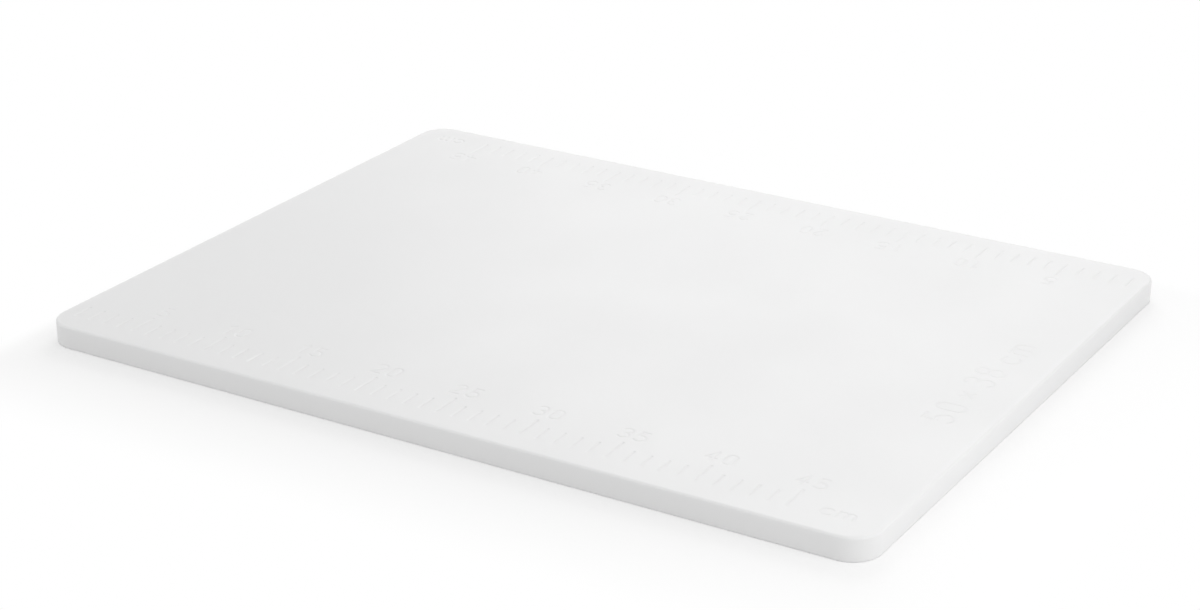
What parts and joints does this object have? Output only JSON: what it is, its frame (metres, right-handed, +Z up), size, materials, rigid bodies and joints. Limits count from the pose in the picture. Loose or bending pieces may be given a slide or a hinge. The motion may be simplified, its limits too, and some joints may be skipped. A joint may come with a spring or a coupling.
{
  "type": "cutting board",
  "caption": "Rectangular white plastic cutting board: one moulded slab with rounded corners, softened edges and a recessed centimetre scale along each long side.",
  "frame": {"origin": "middle of the underside", "axes": "+X along the long sides, +Y towards the far long side, +Z up through the cutting face"},
  "size_m": [0.5, 0.38, 0.0132],
  "materials": {
    "white_polyethylene": "satin, moulded, slightly translucent"
  },
  "bodies": {
    "root": {"board": "white_polyethylene"}
  },
  "joints": []
}
